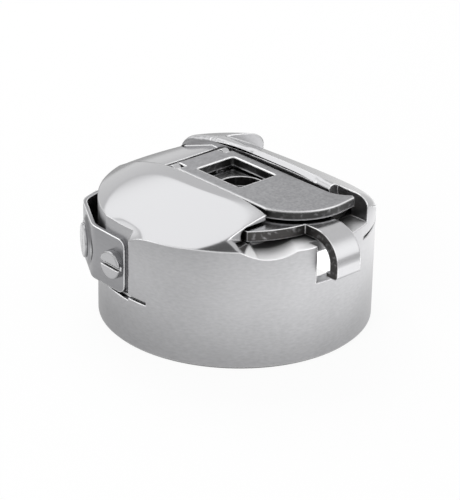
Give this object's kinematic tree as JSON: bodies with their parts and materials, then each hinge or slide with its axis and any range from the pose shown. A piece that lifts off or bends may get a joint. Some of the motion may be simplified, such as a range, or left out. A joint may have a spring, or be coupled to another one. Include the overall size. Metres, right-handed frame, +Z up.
{
  "type": "sewing machine bobbin case",
  "caption": "Round metal bobbin case for a sewing machine hook, with a lift-up latch lever, sliding latch with a bent horn and a leaf tension spring held by screws.",
  "frame": {"origin": "case axis at the open rim, which the case stands on", "axes": "+Z up the case axis to the crown, +X from the lever hinge to the horn, +Y to the far side"},
  "size_m": [0.0258, 0.0244, 0.0132],
  "materials": {
    "polished_case_steel": "turned wall, polished crown",
    "turned_steel": "turned",
    "slide_steel": "polished stamping",
    "lever_steel": "matt face, bright edges",
    "pin_steel": "ground",
    "spring_wire": "drawn wire",
    "screw_steel": "turned",
    "leaf_steel": "rolled spring steel"
  },
  "bodies": {
    "case": {"case_body": "polished_case_steel", "centre_tube": "turned_steel", "latch_stop_screw": "screw_steel", "latch_spring": "spring_wire", "tension_spring": "leaf_steel", "tension_fixing_screw": "screw_steel"},
    "slide": {"latch_slide": "slide_steel", "lever_hinge_pin": "pin_steel"},
    "lever": {"latch_lever": "lever_steel"},
    "adjuster": {"tension_adjusting_screw": "screw_steel"}
  },
  "joints": [
    {"name": "latch_slide_run", "type": "slide", "parent": "case", "child": "slide", "axis": [-1, 0, 0], "range_m": [0, 0.0008452], "stiffness_N_per_m": 200, "springref_m": -0.001, "deforming": ["latch_spring"]},
    {"name": "lever_lift", "type": "hinge", "parent": "slide", "child": "lever", "pos_m": [-0.0049, 0, 0.01206], "axis": [0, -1, 0], "range_deg": [0, 50]},
    {"name": "tension_turn", "type": "hinge", "parent": "case", "child": "adjuster", "pos_m": [-0.00763, -0.01059, 0.00685], "axis": [-0.5075, -0.8616, 0], "range_deg": [-180, 180]}
  ],
  "couplings": [
    {"joint": "lever_lift", "follows": "latch_slide_run", "rad_per_m": 1032.5}
  ]
}
